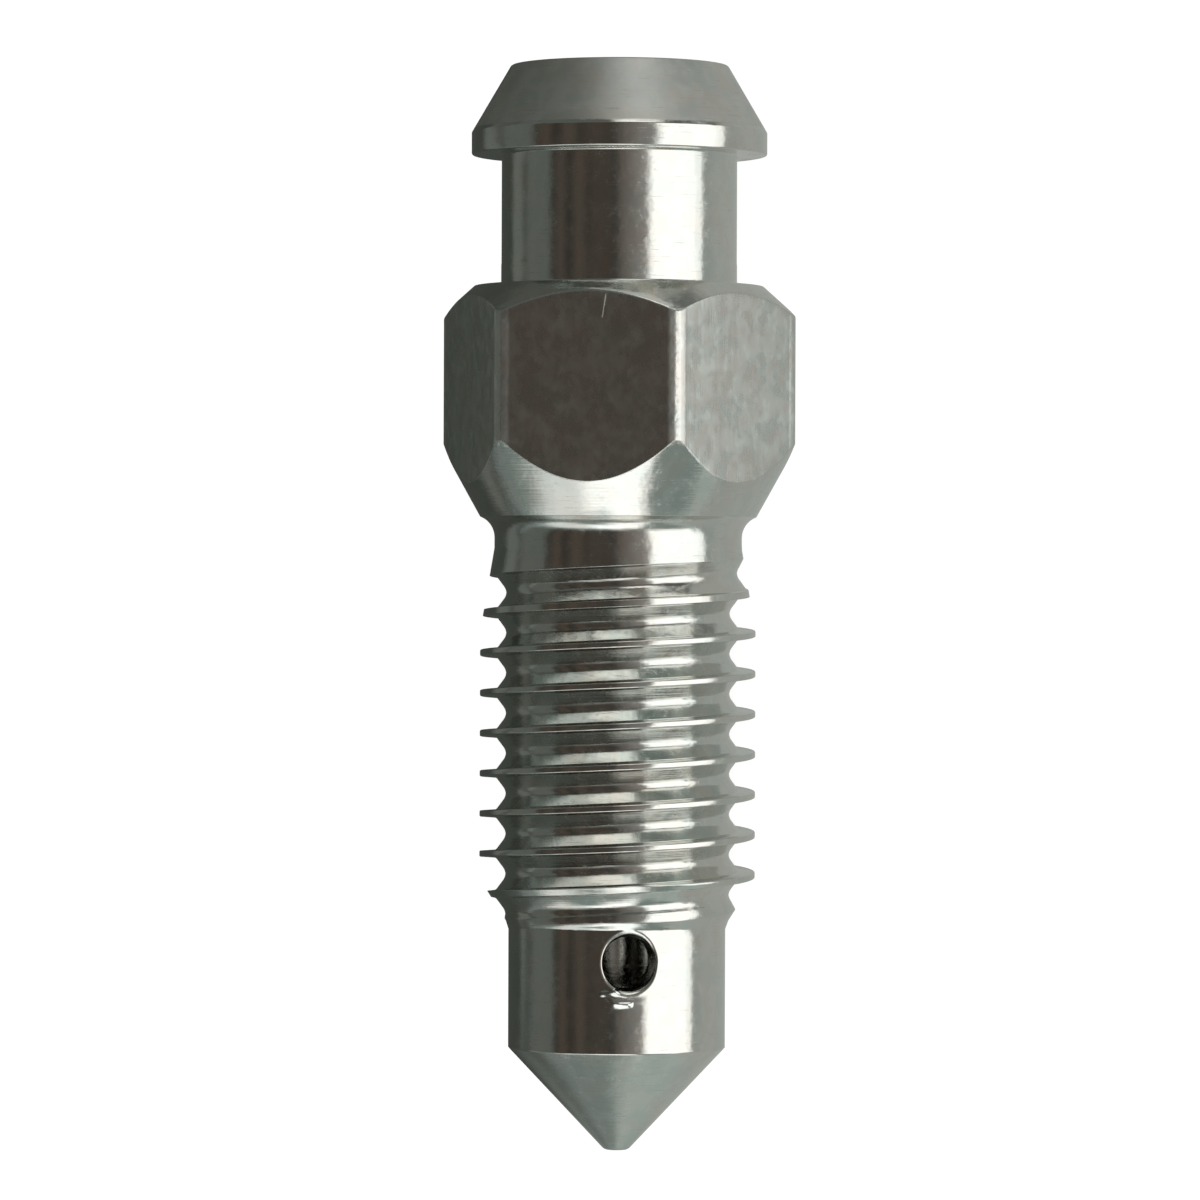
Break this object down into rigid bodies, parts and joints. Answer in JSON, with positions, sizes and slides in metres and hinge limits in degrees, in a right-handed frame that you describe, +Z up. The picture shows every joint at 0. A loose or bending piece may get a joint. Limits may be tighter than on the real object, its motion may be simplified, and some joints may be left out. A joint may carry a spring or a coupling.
{
  "type": "bleeder screw",
  "caption": "Hollow hex-headed bleeder screw for a hydraulic brake: conical point with a side outlet, right-hand thread, and a barbed hose nipple with a bore.",
  "frame": {"origin": "centre of the bounding box, on the surface that the screw lies on", "axes": "+Z up; the screw lies along Y with its hose nipple towards +Y and its point towards -Y, its axis 2.8 degrees up towards the nipple; one hex flat faces up and its opposite flat faces down"},
  "size_m": [0.0088, 0.0271, 0.008],
  "materials": {
    "zinc_plated_steel": "bright zinc plate over turned steel, with fine turning marks and a few nicks"
  },
  "bodies": {
    "root": {"bleeder_screw": "zinc_plated_steel"}
  },
  "joints": []
}
